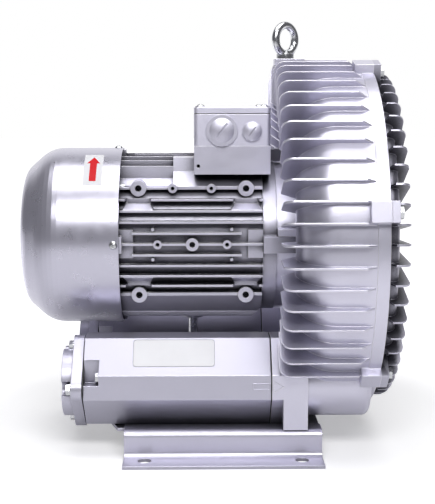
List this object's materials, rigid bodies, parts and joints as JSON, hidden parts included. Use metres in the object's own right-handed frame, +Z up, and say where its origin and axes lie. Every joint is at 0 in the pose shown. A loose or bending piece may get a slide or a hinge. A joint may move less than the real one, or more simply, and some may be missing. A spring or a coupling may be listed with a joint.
{
  "type": "side channel blower",
  "caption": "Side channel blower: ribbed blower stage flanged to a finned motor, with inlet and outlet silencers below on a bent sheet base",
  "frame": {"origin": "centre of the four foot holes, on the floor", "axes": "+X along the motor from the fan cowl to the blower cover, +Z up, the port flanges at -X"},
  "size_m": [0.4526, 0.4417, 0.5185],
  "materials": {
    "cast_silver": "satin silver metallic paint on die-cast aluminium",
    "silencer_silver": "satin silver metallic paint on cast aluminium",
    "cowl_silver": "satin silver metallic paint on sheet steel",
    "base_silver": "satin silver paint on bent sheet steel",
    "box_silver": "satin silver metallic paint on die-cast aluminium",
    "plug_silver": "satin silver",
    "inner_cast": "raw die casting",
    "impeller_cast": "raw casting, machined faces",
    "zinc_steel": "zinc plated",
    "eye_steel": "bright zinc plated",
    "bright_steel": "ground steel",
    "rubber_seal": "matte",
    "absorber_foam": "porous",
    "core_steel": "stacked sheets",
    "winding_copper": "varnished copper winding",
    "board_plastic": "moulded",
    "stud_brass": "machined",
    "fan_plastic": "moulded"
  },
  "bodies": {
    "blower_body": {"base_frame": "base_silver", "leg_bolts": "zinc_steel", "support_post": "zinc_steel", "post_nuts": "zinc_steel", "blower_housing": "cast_silver", "blower_cover": "cast_silver", "cover_seal": "rubber_seal", "cover_bolts": "zinc_steel", "eye_bolt": "eye_steel", "front_silencer": "silencer_silver", "rear_silencer": "silencer_silver", "silencer_gaskets": "rubber_seal", "silencer_tie_bolts": "zinc_steel", "front_core_tube": "bright_steel", "rear_core_tube": "bright_steel", "front_absorber": "absorber_foam", "rear_absorber": "absorber_foam", "front_port_flange": "cast_silver", "rear_port_flange": "cast_silver", "port_gaskets": "rubber_seal", "port_bolts": "zinc_steel", "drive_end_shield": "cast_silver", "shield_bolts": "zinc_steel", "front_bearing_cap": "inner_cast", "cap_screws": "zinc_steel", "shaft_seal": "rubber_seal", "motor_frame": "cast_silver", "stator_core": "core_steel", "stator_windings": "winding_copper", "fan_end_shield": "inner_cast", "shield_screws": "zinc_steel", "preload_washer": "bright_steel", "fan_cowl": "cowl_silver", "cowl_screws": "zinc_steel", "terminal_box": "box_silver", "terminal_gasket": "rubber_seal", "terminal_lid": "box_silver", "lid_screws": "zinc_steel", "terminal_board": "board_plastic", "terminal_studs": "stud_brass", "cable_plug_large": "plug_silver", "cable_plug_small": "plug_silver", "front_outer_ring": "bright_steel", "rear_outer_ring": "bright_steel"},
    "rotor": {"rotor_shaft": "bright_steel", "rotor_core": "core_steel", "front_inner_ring": "bright_steel", "rear_inner_ring": "bright_steel", "impeller": "impeller_cast", "impeller_key": "bright_steel", "impeller_washer": "bright_steel", "impeller_bolt": "bright_steel", "cooling_fan": "fan_plastic", "fan_circlip": "bright_steel"},
    "front_ball_set": {"front_cage": "stud_brass", "front_balls": "bright_steel"},
    "rear_ball_set": {"rear_cage": "stud_brass", "rear_balls": "bright_steel"}
  },
  "joints": [
    {"name": "rotor_spin", "type": "hinge", "parent": "blower_body", "child": "rotor", "pos_m": [0, 0, 0.25], "axis": [1, 0, 0], "continuous": true},
    {"name": "front_balls_spin", "type": "hinge", "parent": "blower_body", "child": "front_ball_set", "pos_m": [0, 0, 0.25], "axis": [1, 0, 0], "continuous": true},
    {"name": "rear_balls_spin", "type": "hinge", "parent": "blower_body", "child": "rear_ball_set", "pos_m": [0, 0, 0.25], "axis": [1, 0, 0], "continuous": true}
  ],
  "couplings": [
    {"joint": "front_balls_spin", "follows": "rotor_spin", "ratio": 0.3967},
    {"joint": "rear_balls_spin", "follows": "rotor_spin", "ratio": 0.3922}
  ]
}
